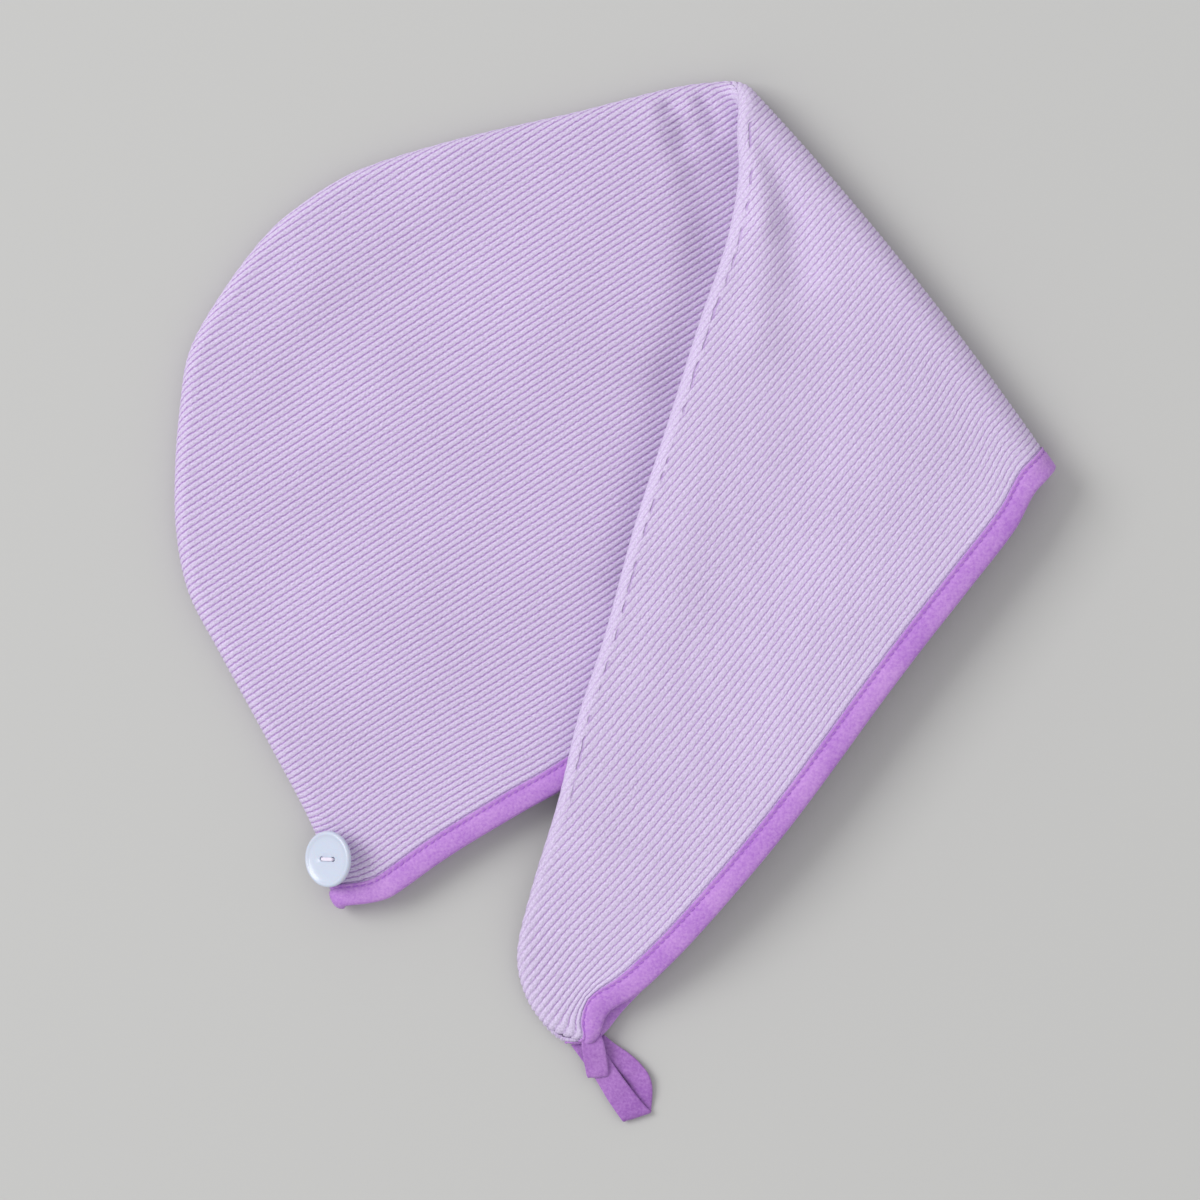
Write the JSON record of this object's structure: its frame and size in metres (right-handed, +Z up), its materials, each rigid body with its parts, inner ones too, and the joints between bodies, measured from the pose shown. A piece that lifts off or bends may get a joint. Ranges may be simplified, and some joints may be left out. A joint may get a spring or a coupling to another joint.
{
  "type": "hair turban towel",
  "caption": "Hair turban towel laid flat: a ribbed cloth pouch with a bound opening, its tail folded over to the front, a tape loop at the tip and a button at the other corner.",
  "frame": {"origin": "middle of the underside of the towel as it lies on a table", "axes": "+Z up from the table; +Y from the tape loop towards the crown; +X from the button corner towards the folded edge"},
  "size_m": [0.3526, 0.4162, 0.0247],
  "materials": {
    "cloth": "ribbed lilac microfibre towelling",
    "tape": "brushed violet binding tape",
    "button": "smooth pale blue white",
    "thread": "pale sewing thread"
  },
  "bodies": {
    "root": {"panel_lower": "cloth", "panel_upper": "cloth", "edge_binding_lower": "tape", "edge_binding_upper": "tape", "tip_loop": "tape", "button": "button", "button_thread": "thread"}
  },
  "joints": []
}
